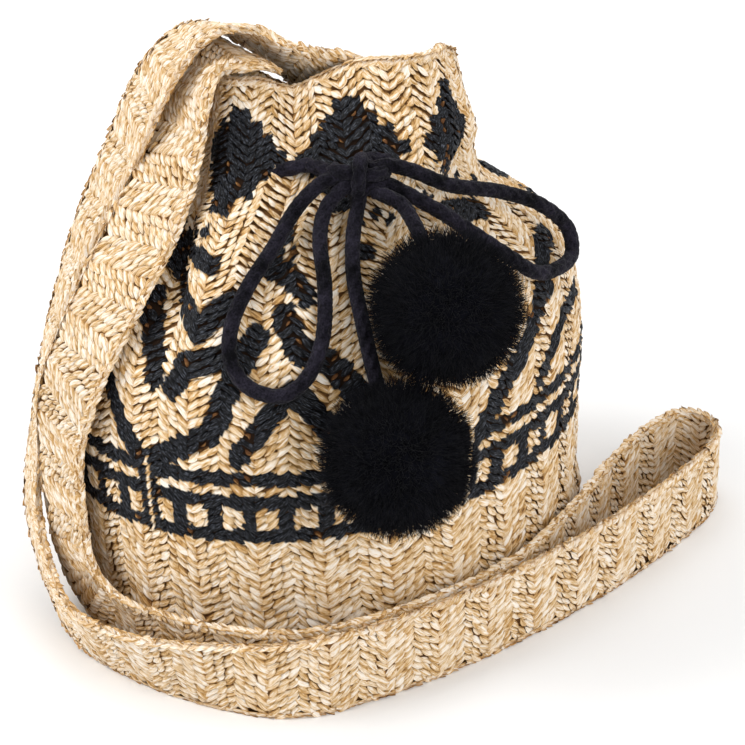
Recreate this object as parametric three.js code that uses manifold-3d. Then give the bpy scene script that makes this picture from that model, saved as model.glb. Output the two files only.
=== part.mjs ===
// A woven straw bucket bag with a gathered neck, a corded bow, two pompoms and a long flat strap
import * as THREE from 'three';
import { mergeVertices } from 'three/addons/utils/BufferGeometryUtils.js';
import Module from 'manifold-3d';

const wasm = await Module();
wasm.setup();

// Driving sizes in millimetres; angles are degrees of cloth, 0 at the front, growing to the right
const RIM_Z = 232;
const NECK_Z = 198;
const LIFT_START_Z = 160;
const WALL_THICK = 2.5;
const WALL_COLUMNS = 72;
const FRONT_CROWDING = 12;
const BASE_SIDES = 60;
const WALL_ROW_Z = [
  0, 4, 11, 26, 46, 68, 90, 108, 122, 134, 145, 155, 164, 172, 180, 188, 196, 206, 218, 232,
];
const SLOPE_STEP = 0.4;
const BASE_THICK = 2.4;
const BASE_INSET = 2.1;
const STRAP_WIDTH = 35;
const STRAP_THICK = 3;
const STRAP_STEPS = 2;
const CORD_RADIUS = 2.9;
const CORD_SIDES = 8;
const SEAT_GAP = 0.5;
const NECK_STEPS = 60;
const LOOP_STEPS = 24;
const TAIL_STEPS = 9;
const HOLE_TURN = 7;
const KNOT_CENTRE = [14, -41, 198];
const KNOT_HALF = [13, 6.5, 8];
const KNOT_ANGLE = 4;
const KNOT_SPAN = 8;
const POMPOM_RADIUS = 29.5;
const POMPOM_ROOT = 26;
const POMPOM_LOCKS = 72;
const LOCK_SPREAD = 0.2;
const POMPOM_DETAIL = 5;
const CUT_SCALE = 1.015;

// Plan of the wall at each height: an oval, turned about its middle, with the cloth spread to the front
const SECTIONS = [
  { z: 0, long: 93, short: 80, turn: 40, x: 1, y: 0, spread: 0 },
  { z: 10, long: 108, short: 90, turn: 40, x: 2, y: 0, spread: 0 },
  { z: 36, long: 113, short: 91, turn: 40, x: 1, y: 0, spread: 0 },
  { z: 68, long: 115, short: 91, turn: 40, x: 0, y: 0, spread: 0 },
  { z: 98, long: 115, short: 90, turn: 38, x: 0, y: 0, spread: 2 },
  { z: 122, long: 111, short: 87, turn: 36, x: 0, y: -1, spread: 5 },
  { z: 142, long: 103, short: 80, turn: 32, x: 0, y: -3, spread: 9 },
  { z: 160, long: 86, short: 66, turn: 25, x: -2, y: -5, spread: 13 },
  { z: 176, long: 68, short: 48, turn: 18, x: -2, y: -5, spread: 20 },
  { z: 187, long: 60, short: 37, turn: 14, x: 1.5, y: -3, spread: 25 },
  { z: 198, long: 57, short: 29, turn: 11, x: 5, y: 0, spread: 28 },
  { z: 212, long: 53, short: 23, turn: 12, x: 5, y: 6, spread: 30 },
  { z: 232, long: 49, short: 17, turn: 14, x: 5, y: 14, spread: 30 },
];

// Folds of the gathered cloth: depth is inward, keep is the share of it left above the neck
const FOLDS = [
  { rim: 0, low: 0, zLow: 172, zFull: 195, keep: 1, depth: 4, left: 14, right: 14 },
  { rim: -56, low: -26, zLow: 126, zFull: 165, keep: 0.3, depth: 15, left: 14, right: 8 },
  { rim: -32, low: -18, zLow: 140, zFull: 185, keep: 1, depth: -4, left: 11, right: 10 },
  { rim: 60, low: 48, zLow: 150, zFull: 182, keep: 0.6, depth: 7, left: 10, right: 12 },
  { rim: 24, low: 27, zLow: 165, zFull: 195, keep: 1, depth: -3, left: 12, right: 12 },
  { rim: 95, low: 90, zLow: 140, zFull: 185, keep: 1, depth: 4, left: 9, right: 9 },
  { rim: 155, low: 150, zLow: 140, zFull: 185, keep: 1, depth: 4, left: 9, right: 9 },
  { rim: -175, low: -170, zLow: 140, zFull: 185, keep: 1, depth: 4, left: 9, right: 9 },
  { rim: -148, low: -145, zLow: 140, zFull: 185, keep: 1, depth: 4, left: 9, right: 9 },
  { rim: -118, low: -115, zLow: 140, zFull: 185, keep: 0.5, depth: 4, left: 9, right: 9 },
];

// How far the rim stands above or below its level height around the mouth
const RIM_LIFT = [
  { angle: -180, lift: -24 },
  { angle: -145, lift: -21 },
  { angle: -118, lift: -25.5 },
  { angle: -90, lift: -14 },
  { angle: -60, lift: -6 },
  { angle: -35, lift: -7 },
  { angle: -20, lift: -8 },
  { angle: -6, lift: -13 },
  { angle: 3, lift: -8 },
  { angle: 12, lift: -3 },
  { angle: 36, lift: -4 },
  { angle: 60, lift: -7 },
  { angle: 90, lift: -14 },
  { angle: 115, lift: -24 },
  { angle: 180, lift: -24 },
];

// Strap: middle of the band, then the way across it; from the right end in the collar, over the left
// shoulder, along the floor to the loop and back, up to the left end in the collar
const STRAP_ROWS = [
  { at: [42, 16, 191], across: [0, -0.25, 1] },
  { at: [34.5, 15, 195], across: [0, -0.3, 0.95] },
  { at: [26, 13.5, 202], across: [0, -0.38, 0.9] },
  { at: [16, 12.5, 209], across: [0, -0.45, 0.88] },
  { at: [5, 11, 216], across: [0, -0.46, 0.86] },
  { at: [-6, 10, 220.5], across: [0.05, -0.6, 0.78] },
  { at: [-17, 11, 225.8], across: [0.05, -0.7, 0.66] },
  { at: [-28, 14.5, 232], across: [0.1, -0.77, 0.58] },
  { at: [-41, 13, 237], across: [0.18, -0.88, 0.36] },
  { at: [-55, 8.5, 233], across: [0.25, -0.94, 0.16] },
  { at: [-68.5, 3, 216], across: [0.3, -0.95, 0] },
  { at: [-80.8, 1.5, 188], across: [0.3, -0.95, 0] },
  { at: [-98.6, -8.5, 150], across: [0.17, -0.96, 0] },
  { at: [-111, -14, 110], across: [0.12, -1, 0] },
  { at: [-118, -18, 72], across: [0.18, -0.95, 0.2] },
  { at: [-120.5, -33, 44], across: [0.2, -0.8, 0.5] },
  { at: [-112, -60, 25], across: [0.1, -0.7, 0.7] },
  { at: [-98, -88, 17.5], across: [0, -0.6, 0.8] },
  { at: [-72, -109, 16.5], across: [0, -0.45, 0.9] },
  { at: [-42, -121, 17.5], across: [0, -0.2, 0.97] },
  { at: [-9, -124, 18], across: [0, 0, 1] },
  { at: [30, -106, 18], across: [0, 0, 1] },
  { at: [73, -75, 18], across: [0, 0, 1] },
  { at: [115, -36, 18], across: [0, 0, 1] },
  { at: [148, 3, 18], across: [0, 0, 1] },
  { at: [165, 30, 18], across: [0, 0, 1] },
  { at: [166, 48, 18], across: [0, 0, 1] },
  { at: [154, 55, 18], across: [0, 0, 1] },
  { at: [138, 42, 18], across: [0, 0, 1] },
  { at: [120, 14, 18], across: [0, 0, 1] },
  { at: [105, -17, 18], across: [0, 0, 1] },
  { at: [76, -63, 18], across: [0, 0, 1] },
  { at: [33, -98, 18], across: [0, 0, 1] },
  { at: [-8, -116, 18], across: [0, 0, 1] },
  { at: [-42, -110, 18], across: [0, -0.15, 1] },
  { at: [-70, -93, 18], across: [0, -0.35, 0.9] },
  { at: [-88, -79, 22], across: [0.2, -0.55, 0.8] },
  { at: [-100, -69, 38], across: [0.4, -0.75, 0.5] },
  { at: [-104.5, -64, 64], across: [0.5, -0.85, 0.1] },
  { at: [-105, -62, 95], across: [0.55, -0.85, 0] },
  { at: [-98, -66, 124], across: [0.6, -0.8, 0] },
  { at: [-84.5, -58, 152], across: [0.68, -0.73, 0] },
  { at: [-69.5, -37, 177], across: [0.7, -0.71, 0] },
  { at: [-59.3, -19, 199], across: [0.52, -0.86, 0] },
  { at: [-53.5, -10, 215], across: [0.42, -0.88, 0.12] },
  { at: [-48, -2, 226.5], across: [0.3, -0.9, 0.15] },
  { at: [-39, 5, 229], across: [0.3, -0.9, 0.04] },
  { at: [-31, 9.5, 226.5], across: [0.3, -0.88, 0.22] },
  { at: [-26, 12.5, 221.5], across: [0.3, -0.82, 0.42] },
];

// Cloth angles where the drawstring goes through the neck, in its order round from the knot
const HOLE_ANGLES = [18, 100, 126, 150, 204, 235, 285, 348];

const LEFT_LOOP = [
  [12, -42, 199], [3, -43.5, 198.5], [-4, -46, 194.5], [-11, -51, 188], [-19, -62, 178], [-29, -75, 167],
  [-35, -86, 156], [-35, -94, 145], [-28, -98, 136], [-15, -99, 133], [-6, -96, 139], [0, -88, 151],
  [1, -75, 167], [-1, -60, 181], [1, -51, 188.5], [5.5, -47, 193.5], [12, -43, 198],
];
const RIGHT_LOOP = [
  [18, -41, 201], [25, -39, 202], [34, -37, 199], [49, -32, 190], [71, -17, 179], [88, -8, 168],
  [99, -1, 153], [100, -7, 146], [93, -24, 148], [84, -36, 153], [73, -41, 163], [60, -42, 173],
  [47, -43, 183], [34, -43, 191], [25, -42, 195.5], [18, -41, 198],
];
const UPPER_TAIL = [
  [20, -44.5, 193.5], [24.5, -48.5, 193.5], [30.5, -50.5, 191], [35, -57, 187], [39, -66, 182],
  [48, -92, 167.5],
];
const LOWER_TAIL = [
  [15, -43, 195], [13.5, -49, 188], [12, -56, 181.5], [12, -69, 170], [16, -83, 154], [20, -92, 139],
  [29, -119, 117],
];
const UPPER_POMPOM = [48, -92, 167.5];
const LOWER_POMPOM = [29, -119, 117];

const clamp01 = (value) => Math.min(1, Math.max(0, value));
const smooth = (value) => clamp01(value) ** 2 * (3 - 2 * clamp01(value));
const radians = (degrees) => THREE.MathUtils.degToRad(degrees);
const wrap = (degrees) => ((((degrees + 180) % 360) + 360) % 360) - 180;

// Slope of a table at a row, from the rows on both sides of it
function rowSlope(table, key, column, row) {
  const before = Math.max(0, row - 1);
  const after = Math.min(table.length - 1, row + 1);
  if (before === row || after === row) {
    return (table[after][column] - table[before][column]) / (table[after][key] - table[before][key]);
  }
  const stepBack = table[row][key] - table[before][key];
  const stepOn = table[after][key] - table[row][key];
  const slopeBack = (table[row][column] - table[before][column]) / stepBack;
  const slopeOn = (table[after][column] - table[row][column]) / stepOn;
  return (slopeBack * stepOn + slopeOn * stepBack) / (stepBack + stepOn);
}

// Smooth value of one column of a table, read at a value of its key column
function readTable(table, key, column, value) {
  let row = 0;
  while (row < table.length - 2 && value >= table[row + 1][key]) row += 1;
  const step = table[row + 1][key] - table[row][key];
  const part = clamp01((value - table[row][key]) / step);
  const start = (1 + 2 * part) * (1 - part) ** 2 * table[row][column];
  const startPull = part * (1 - part) ** 2 * step * rowSlope(table, key, column, row);
  const end = part ** 2 * (3 - 2 * part) * table[row + 1][column];
  const endPull = part ** 2 * (part - 1) * step * rowSlope(table, key, column, row + 1);
  return start + startPull + end + endPull;
}

function foldSink(angle, z) {
  let sink = 0;
  for (const fold of FOLDS) {
    const rise = clamp01((z - fold.zLow) / (RIM_Z - fold.zLow));
    const grown = smooth((z - fold.zLow) / (fold.zFull - fold.zLow));
    const kept = 1 - (1 - fold.keep) * smooth((z - fold.zFull) / (NECK_Z - fold.zFull));
    const off = wrap(angle - fold.low - (fold.rim - fold.low) * rise);
    const width = off < 0 ? fold.left : fold.right;
    sink += fold.depth * grown * kept * Math.exp(-((off / width) ** 2));
  }
  return sink;
}

// Point of the outer face of the wall at a cloth angle and a height
function wallPoint(angle, z) {
  const section = (column) => readTable(SECTIONS, 'z', column, z);
  const around = radians(angle + section('spread') * Math.sin(radians(angle)));
  const turn = radians(section('turn'));
  const axisX = Math.cos(turn);
  const axisY = Math.sin(turn);
  const along = Math.sin(around) * axisX - Math.cos(around) * axisY;
  const across = -Math.sin(around) * axisY - Math.cos(around) * axisX;
  const long = section('long');
  const short = section('short');
  const planX = along * long * axisX - across * short * axisY;
  const planY = along * long * axisY + across * short * axisX;
  const outX = (along / long) * axisX - (across / short) * axisY;
  const outY = (along / long) * axisY + (across / short) * axisX;
  const sink = foldSink(angle, z) / Math.hypot(outX, outY);
  const lift = readTable(RIM_LIFT, 'angle', 'lift', wrap(angle));
  const share = clamp01((z - LIFT_START_Z) / (RIM_Z - LIFT_START_Z)) ** 2;
  const x = section('x') + planX - sink * outX;
  const y = section('y') + planY - sink * outY;
  return new THREE.Vector3(x, y, z + lift * share);
}

// Outward direction of the wall
function wallOut(angle, z) {
  const lowZ = Math.max(0, z - SLOPE_STEP);
  const highZ = Math.min(RIM_Z, z + SLOPE_STEP);
  const round = wallPoint(angle + SLOPE_STEP, z).sub(wallPoint(angle - SLOPE_STEP, z));
  const rise = wallPoint(angle, highZ).sub(wallPoint(angle, lowZ));
  return round.cross(rise).normalize();
}

function bareGeometry(positions, index) {
  const geometry = new THREE.BufferGeometry();
  geometry.setAttribute('position', new THREE.Float32BufferAttribute(positions, 3));
  geometry.setIndex(index);
  return geometry;
}

// Solid of a closed geometry, for adding and cutting
function solidOf(geometry) {
  const plain = geometry.clone();
  plain.deleteAttribute('normal');
  plain.deleteAttribute('uv');
  const merged = mergeVertices(plain, 1e-4);
  const mesh = new wasm.Mesh({
    numProp: 3,
    vertProperties: new Float32Array(merged.attributes.position.array),
    triVerts: new Uint32Array(merged.index.array),
  });
  return new wasm.Manifold(mesh);
}

function geometryOf(solid) {
  const mesh = solid.getMesh();
  return bareGeometry(Array.from(mesh.vertProperties), Array.from(mesh.triVerts));
}

// Closed skin of rings of points: the last ring joins the first, or both ends are capped
function ringSkin(rings, closed) {
  const count = rings[0].length;
  const positions = rings.flat().flatMap((point) => [point.x, point.y, point.z]);
  const index = [];
  const spans = closed ? rings.length : rings.length - 1;
  for (let ring = 0; ring < spans; ring += 1) {
    const here = ring * count;
    const next = ((ring + 1) % rings.length) * count;
    for (let step = 0; step < count; step += 1) {
      const on = (step + 1) % count;
      index.push(here + step, here + on, next + on, here + step, next + on, next + step);
    }
  }
  if (!closed) {
    const last = (rings.length - 1) * count;
    for (let step = 1; step < count - 1; step += 1) {
      index.push(0, step + 1, step, last, last + step, last + step + 1);
    }
  }
  return bareGeometry(positions, index);
}

function wallSolid() {
  const angles = Array.from({ length: WALL_COLUMNS }, (_, column) => {
    const even = (column * 360) / WALL_COLUMNS - 180;
    return even - FRONT_CROWDING * Math.sin(radians(even));
  });
  const outer = WALL_ROW_Z.map((z) => angles.map((angle) => wallPoint(angle, z)));
  const inner = WALL_ROW_Z.map((z) =>
    angles.map((angle) => wallPoint(angle, z).addScaledVector(wallOut(angle, z), -WALL_THICK)),
  );
  return solidOf(ringSkin([...outer, ...inner.reverse()], true));
}

// Oval bottom panel, set just inside the lowest ring of the wall
function baseGeometry() {
  const outline = Array.from({ length: BASE_SIDES }, (_, side) => {
    const angle = (side * 360) / BASE_SIDES - 180;
    const edge = wallPoint(angle, 0);
    const out = wallOut(angle, 0).setZ(0).normalize();
    return edge.addScaledVector(out, -BASE_INSET);
  });
  const shape = new THREE.Shape(outline.map((point) => new THREE.Vector2(point.x, point.y)));
  return new THREE.ExtrudeGeometry(shape, { depth: BASE_THICK, bevelEnabled: false });
}

// Value between rows on a smooth run through a list of rows
function runThrough(rows, row, part, pick) {
  const read = (at) => pick(rows[Math.min(rows.length - 1, Math.max(0, at))]);
  const [a, b, c, d] = [read(row - 1), read(row), read(row + 1), read(row + 2)];
  return b.map((value, axis) => {
    const bend = 2 * a[axis] - 5 * b[axis] + 4 * c[axis] - d[axis];
    const twist = -a[axis] + 3 * b[axis] - 3 * c[axis] + d[axis];
    return 0.5 * (2 * value + (c[axis] - a[axis]) * part + bend * part ** 2 + twist * part ** 3);
  });
}

function strapGeometry() {
  const middles = [];
  const ways = [];
  for (let row = 0; row < STRAP_ROWS.length - 1; row += 1) {
    for (let step = 0; step < STRAP_STEPS; step += 1) {
      const part = step / STRAP_STEPS;
      middles.push(new THREE.Vector3(...runThrough(STRAP_ROWS, row, part, (entry) => entry.at)));
      ways.push(new THREE.Vector3(...runThrough(STRAP_ROWS, row, part, (entry) => entry.across)));
    }
  }
  middles.push(new THREE.Vector3(...STRAP_ROWS.at(-1).at));
  ways.push(new THREE.Vector3(...STRAP_ROWS.at(-1).across));
  const rings = middles.map((middle, place) => {
    const ahead = middles[Math.min(middles.length - 1, place + 1)];
    const behind = middles[Math.max(0, place - 1)];
    const run = ahead.clone().sub(behind).normalize();
    const across = ways[place].clone().addScaledVector(run, -ways[place].dot(run)).normalize();
    const face = run.clone().cross(across);
    const corner = (side, up) => {
      const edge = middle.clone().addScaledVector(across, (side * STRAP_WIDTH) / 2);
      return edge.addScaledVector(face, (up * STRAP_THICK) / 2);
    };
    return [corner(-1, -1), corner(1, -1), corner(1, 1), corner(-1, 1)];
  });
  return ringSkin(rings, false);
}

// Round cord along a list of points
function cordSolid(points, radius, steps) {
  const circle = new THREE.Shape(
    Array.from({ length: CORD_SIDES }, (_, side) => {
      const angle = (side * 2 * Math.PI) / CORD_SIDES;
      return new THREE.Vector2(radius * Math.cos(angle), radius * Math.sin(angle));
    }),
  );
  const path = new THREE.CatmullRomCurve3(points);
  return solidOf(new THREE.ExtrudeGeometry(circle, { steps, bevelEnabled: false, extrudePath: path }));
}

const vectors = (list) => list.map((point) => new THREE.Vector3(...point));

// Run of the drawstring round the neck, outside and inside by turns
function neckRoute() {
  const outside = CORD_RADIUS + SEAT_GAP;
  const inside = -(WALL_THICK + CORD_RADIUS + SEAT_GAP);
  const start = KNOT_ANGLE + KNOT_SPAN;
  const round = Array.from({ length: NECK_STEPS * 2 + 1 }, (_, step) => {
    const angle = start + (step * (360 - 2 * KNOT_SPAN)) / (NECK_STEPS * 2);
    let share = 0;
    HOLE_ANGLES.forEach((hole, place) => {
      const through = smooth(0.5 + (angle - hole) / (2 * HOLE_TURN));
      share += place % 2 === 0 ? through : -through;
    });
    const off = outside + (inside - outside) * share;
    return wallPoint(angle, NECK_Z).addScaledVector(wallOut(angle, NECK_Z), off);
  });
  const centre = new THREE.Vector3(...KNOT_CENTRE);
  const reach = new THREE.Vector3(CORD_RADIUS, 0, 0);
  return [centre.clone().add(reach), ...round, centre.clone().sub(reach)];
}

// Knot: a body with one strand wrapped over its middle
function knotGeometry() {
  const body = new THREE.SphereGeometry(1, 12, 8);
  body.rotateX(Math.PI / 2);
  body.scale(...KNOT_HALF);
  const strand = new THREE.TorusGeometry(KNOT_HALF[2] - CORD_RADIUS / 2, CORD_RADIUS, 8, 12);
  strand.rotateY(Math.PI / 2);
  strand.scale(1, KNOT_HALF[1] / KNOT_HALF[2], 1);
  const joined = solidOf(body).add(solidOf(strand));
  return geometryOf(joined).translate(...KNOT_CENTRE);
}

// Pompom: a ball head whose outside is drawn out into locks, evenly spread
function pompomGeometry() {
  const turn = Math.PI * (3 - Math.sqrt(5));
  const tips = Array.from({ length: POMPOM_LOCKS }, (_, lock) => {
    const height = 1 - (2 * lock + 1) / POMPOM_LOCKS;
    const ring = Math.sqrt(1 - height * height);
    return new THREE.Vector3(ring * Math.cos(turn * lock), ring * Math.sin(turn * lock), height);
  });
  const geometry = new THREE.IcosahedronGeometry(1, POMPOM_DETAIL);
  geometry.deleteAttribute('normal');
  geometry.deleteAttribute('uv');
  const ball = mergeVertices(geometry, 1e-4);
  const place = ball.attributes.position;
  for (let point = 0; point < place.count; point += 1) {
    const way = new THREE.Vector3().fromBufferAttribute(place, point).normalize();
    const nearest = Math.min(...tips.map((tip) => tip.distanceTo(way)));
    const lock = Math.exp(-((nearest / LOCK_SPREAD) ** 2));
    way.multiplyScalar(POMPOM_ROOT + (POMPOM_RADIUS - POMPOM_ROOT) * lock);
    place.setXYZ(point, way.x, way.y, way.z);
  }
  return ball;
}

// A piece grown a little about its own middle, to cut its neighbours clear of it
function cutterOf(geometry, middle) {
  const grown = geometry.clone().translate(...middle.map((value) => -value));
  grown.scale(CUT_SCALE, CUT_SCALE, CUT_SCALE).translate(...middle);
  return solidOf(grown);
}

const knot = knotGeometry();
const knotCutter = cutterOf(knot, KNOT_CENTRE);
const upperPompom = pompomGeometry().translate(...UPPER_POMPOM);
const lowerPompom = pompomGeometry().translate(...LOWER_POMPOM);
const neck = neckRoute();
const wall = wallSolid().subtract(cordSolid(neck, CORD_RADIUS + SEAT_GAP, NECK_STEPS));
const upperTail = cordSolid(vectors(UPPER_TAIL), CORD_RADIUS, TAIL_STEPS);
const lowerTail = cordSolid(vectors(LOWER_TAIL), CORD_RADIUS, TAIL_STEPS);

const straw = new THREE.MeshStandardMaterial({ color: 0xd8bb8a, roughness: 0.75, metalness: 0 });
const cordBlack = new THREE.MeshStandardMaterial({ color: 0x1d1b22, roughness: 0.9, metalness: 0 });
const yarnBlack = new THREE.MeshStandardMaterial({ color: 0x0d0e14, roughness: 1, metalness: 0 });

const bag = new THREE.Group();

function addPiece(name, geometry, material) {
  const flat = geometry.index ? geometry.toNonIndexed() : geometry;
  flat.computeVertexNormals();
  const mesh = new THREE.Mesh(flat, material);
  mesh.name = name;
  bag.add(mesh);
}

addPiece('bag_wall', geometryOf(wall), straw);
addPiece('bag_base', baseGeometry(), straw);
addPiece('strap', strapGeometry(), straw);
const neckCord = cordSolid(neck, CORD_RADIUS, NECK_STEPS).subtract(knotCutter);
const leftLoop = cordSolid(vectors(LEFT_LOOP), CORD_RADIUS, LOOP_STEPS).subtract(knotCutter);
const rightLoop = cordSolid(vectors(RIGHT_LOOP), CORD_RADIUS, LOOP_STEPS).subtract(knotCutter);
const upperFree = upperTail.subtract(knotCutter).subtract(cutterOf(upperPompom, UPPER_POMPOM));
const lowerFree = lowerTail.subtract(knotCutter).subtract(cutterOf(lowerPompom, LOWER_POMPOM));
addPiece('drawstring_neck', geometryOf(neckCord), cordBlack);
addPiece('bow_knot', knot, cordBlack);
addPiece('bow_loop_left', geometryOf(leftLoop), cordBlack);
addPiece('bow_loop_right', geometryOf(rightLoop), cordBlack);
addPiece('tail_upper', geometryOf(upperFree), cordBlack);
addPiece('tail_lower', geometryOf(lowerFree), cordBlack);
addPiece('pompom_upper', upperPompom, yarnBlack);
addPiece('pompom_lower', lowerPompom, yarnBlack);

export default bag;
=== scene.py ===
import math
import bmesh
import bpy
import numpy as np
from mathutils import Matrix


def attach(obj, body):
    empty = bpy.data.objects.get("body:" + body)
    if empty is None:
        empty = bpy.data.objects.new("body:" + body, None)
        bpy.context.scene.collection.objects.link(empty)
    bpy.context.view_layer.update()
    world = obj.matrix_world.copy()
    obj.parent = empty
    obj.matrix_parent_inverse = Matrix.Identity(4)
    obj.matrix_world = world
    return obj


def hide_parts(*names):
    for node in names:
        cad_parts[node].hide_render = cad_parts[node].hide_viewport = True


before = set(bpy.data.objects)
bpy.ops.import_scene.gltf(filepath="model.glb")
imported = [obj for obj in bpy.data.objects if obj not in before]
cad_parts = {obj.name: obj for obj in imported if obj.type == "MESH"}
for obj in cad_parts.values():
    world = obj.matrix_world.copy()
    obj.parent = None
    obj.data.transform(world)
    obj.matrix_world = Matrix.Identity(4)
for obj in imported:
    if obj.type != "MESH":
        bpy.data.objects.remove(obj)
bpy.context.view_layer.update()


# Camera. The photograph looks straight at the bow from about 1.5 m through a long lens, tipped
# down by thirty degrees, so that upright lines stay nearly parallel.
MM = 0.001
CAMERA_PLACE = (19.4, -1348.3, 864.7)
CAMERA_TILT = 60
CAMERA_LENS = 181.7
SENSOR_WIDTH = 36
camera_data = bpy.data.cameras.new("studio_camera")
camera_data.lens = CAMERA_LENS
camera_data.sensor_width = SENSOR_WIDTH
camera = bpy.data.objects.new("studio_camera", camera_data)
camera.location = [value * MM for value in CAMERA_PLACE]
camera.rotation_euler = (math.radians(CAMERA_TILT), 0, 0)
bpy.context.collection.objects.link(camera)
bpy.context.scene.camera = camera
bpy.context.scene.view_settings.view_transform = "Standard"


# Bow loops. Two free loops of soft braided cotton cord, 6 mm thick, pulled out of the knot. Each
# one leaves the knot and goes back into it, and hangs down over the bag's shoulder.
CORD_RADIUS = 2.9
CORD_SIDES = 24
CORD_STEP = 0.8
BRAID_STRANDS = 4
BRAID_PITCH = 13.0
BRAID_DEPTH = 0.5
BRAID_LEVEL = 0.6
ROUTE_STEPS = 16
JOIN_DISTANCE = 0.00001
LEFT_LOOP = [
    (12, -42, 199), (3, -43.5, 198.5), (-4, -46, 194.5), (-11, -51, 188), (-19, -62, 178),
    (-29, -75, 167), (-35, -86, 156), (-35, -94, 145), (-28, -98, 136), (-15, -99, 133),
    (-6, -96, 139), (0, -88, 151), (1, -75, 167), (-1, -60, 181), (1, -51, 188.5),
    (5.5, -47, 193.5), (12, -43, 198),
]
RIGHT_LOOP = [
    (18, -41, 201), (25, -39, 202), (34, -37, 199), (49, -32, 190), (71, -17, 179),
    (88, -8, 168), (99, -1, 153), (100, -7, 146), (93, -24, 148), (84, -36, 153),
    (73, -41, 163), (60, -42, 173), (47, -43, 183), (34, -43, 191), (25, -42, 195.5),
    (18, -41, 198),
]


def unit(rows):
    return rows / np.linalg.norm(rows, axis=-1, keepdims=True)


def reach_along(run):
    """How far along a line each of its points is."""
    return np.concatenate([[0], np.cumsum(np.linalg.norm(np.diff(run, axis=0), axis=1))])


def even_run(run, spacing):
    """The same line with its points an even distance apart."""
    reach = reach_along(run)
    places = np.linspace(0, reach[-1], int(reach[-1] / spacing) + 1)
    return np.column_stack([np.interp(places, reach, run[:, axis]) for axis in range(3)])


def cord_route(points, spacing):
    """A smooth run through given points, close together where the points are close."""
    points = np.array(points, float)
    ends = np.vstack([2 * points[0] - points[1], points, 2 * points[-1] - points[-2]])
    part = np.linspace(0, 1, ROUTE_STEPS, endpoint=False)[:, None]
    pieces = []
    for a, b, c, d in zip(ends, ends[1:], ends[2:], ends[3:]):
        before, here, after = [np.linalg.norm(q - p) ** 0.5 for p, q in ((a, b), (b, c), (c, d))]
        leave = ((b - a) / before - (c - a) / (before + here) + (c - b) / here) * here
        meet = ((c - b) / here - (d - b) / (here + after) + (d - c) / after) * here
        rise = part ** 2 * (3 - 2 * part)
        bends = leave * (part * (1 - part) ** 2) - meet * (part ** 2 * (1 - part))
        pieces.append(b * (1 - rise) + c * rise + bends)
    return even_run(np.vstack(pieces + [points[-1:]]), spacing)


def run_frames(route):
    """Side and up vectors along a line, carried on with no twist."""
    ahead = unit(np.gradient(route, axis=0))
    side = np.cross(ahead[0], (0.3, 0.2, 1.0))
    sides = []
    for way in ahead:
        side = side - way * np.dot(side, way)
        side = side / np.linalg.norm(side)
        sides.append(side)
    sides = np.array(sides)
    return sides, np.cross(ahead, sides)


def new_piece(name, bm, material):
    mesh = bpy.data.meshes.new(name)
    bm.to_mesh(mesh)
    bm.free()
    mesh.polygons.foreach_set("use_smooth", np.ones(len(mesh.polygons), bool))
    mesh.materials.append(material)
    piece = bpy.data.objects.new(name, mesh)
    bpy.context.collection.objects.link(piece)
    return piece


def cloth_grid(columns, rows):
    """A flat grid whose points know their place, from 0 to 1, along and across."""
    bm = bmesh.new()
    bmesh.ops.create_grid(bm, x_segments=columns, y_segments=rows, size=0.5)
    places = np.array([vert.co[:2] for vert in bm.verts]) + 0.5
    layer = bm.loops.layers.uv.new("cloth")
    for face in bm.faces:
        for loop in face.loops:
            loop[layer].uv = loop.vert.co.xy
    return bm, places[:, 0], places[:, 1]


def move_points(bm, points):
    for vert, point in zip(bm.verts, points):
        vert.co = point * MM


def braid_swell(turn, reach):
    """Height of the braid's strands: two sets that wind opposite ways and lie over each other."""
    lean = 2 * math.pi * reach / BRAID_PITCH
    right = np.cos(BRAID_STRANDS * (turn + lean / 2))
    left = np.cos(BRAID_STRANDS * (turn - lean / 2))
    return np.maximum(right, left)


def braided_cord(name, route, material):
    bm, along, around = cloth_grid(len(route) - 1, CORD_SIDES)
    sides, ups = run_frames(route)
    ring = np.rint(along * (len(route) - 1)).astype(int)
    turn = around * 2 * math.pi
    radius = CORD_RADIUS + BRAID_DEPTH * (braid_swell(turn, ring * CORD_STEP) - BRAID_LEVEL)
    spread = sides[ring] * np.cos(turn)[:, None] + ups[ring] * np.sin(turn)[:, None]
    move_points(bm, route[ring] + spread * radius[:, None])
    bmesh.ops.remove_doubles(bm, verts=bm.verts, dist=JOIN_DISTANCE)
    bmesh.ops.holes_fill(bm, edges=bm.edges, sides=CORD_SIDES)
    bmesh.ops.recalc_face_normals(bm, faces=bm.faces)
    return new_piece(name, bm, material)


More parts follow.
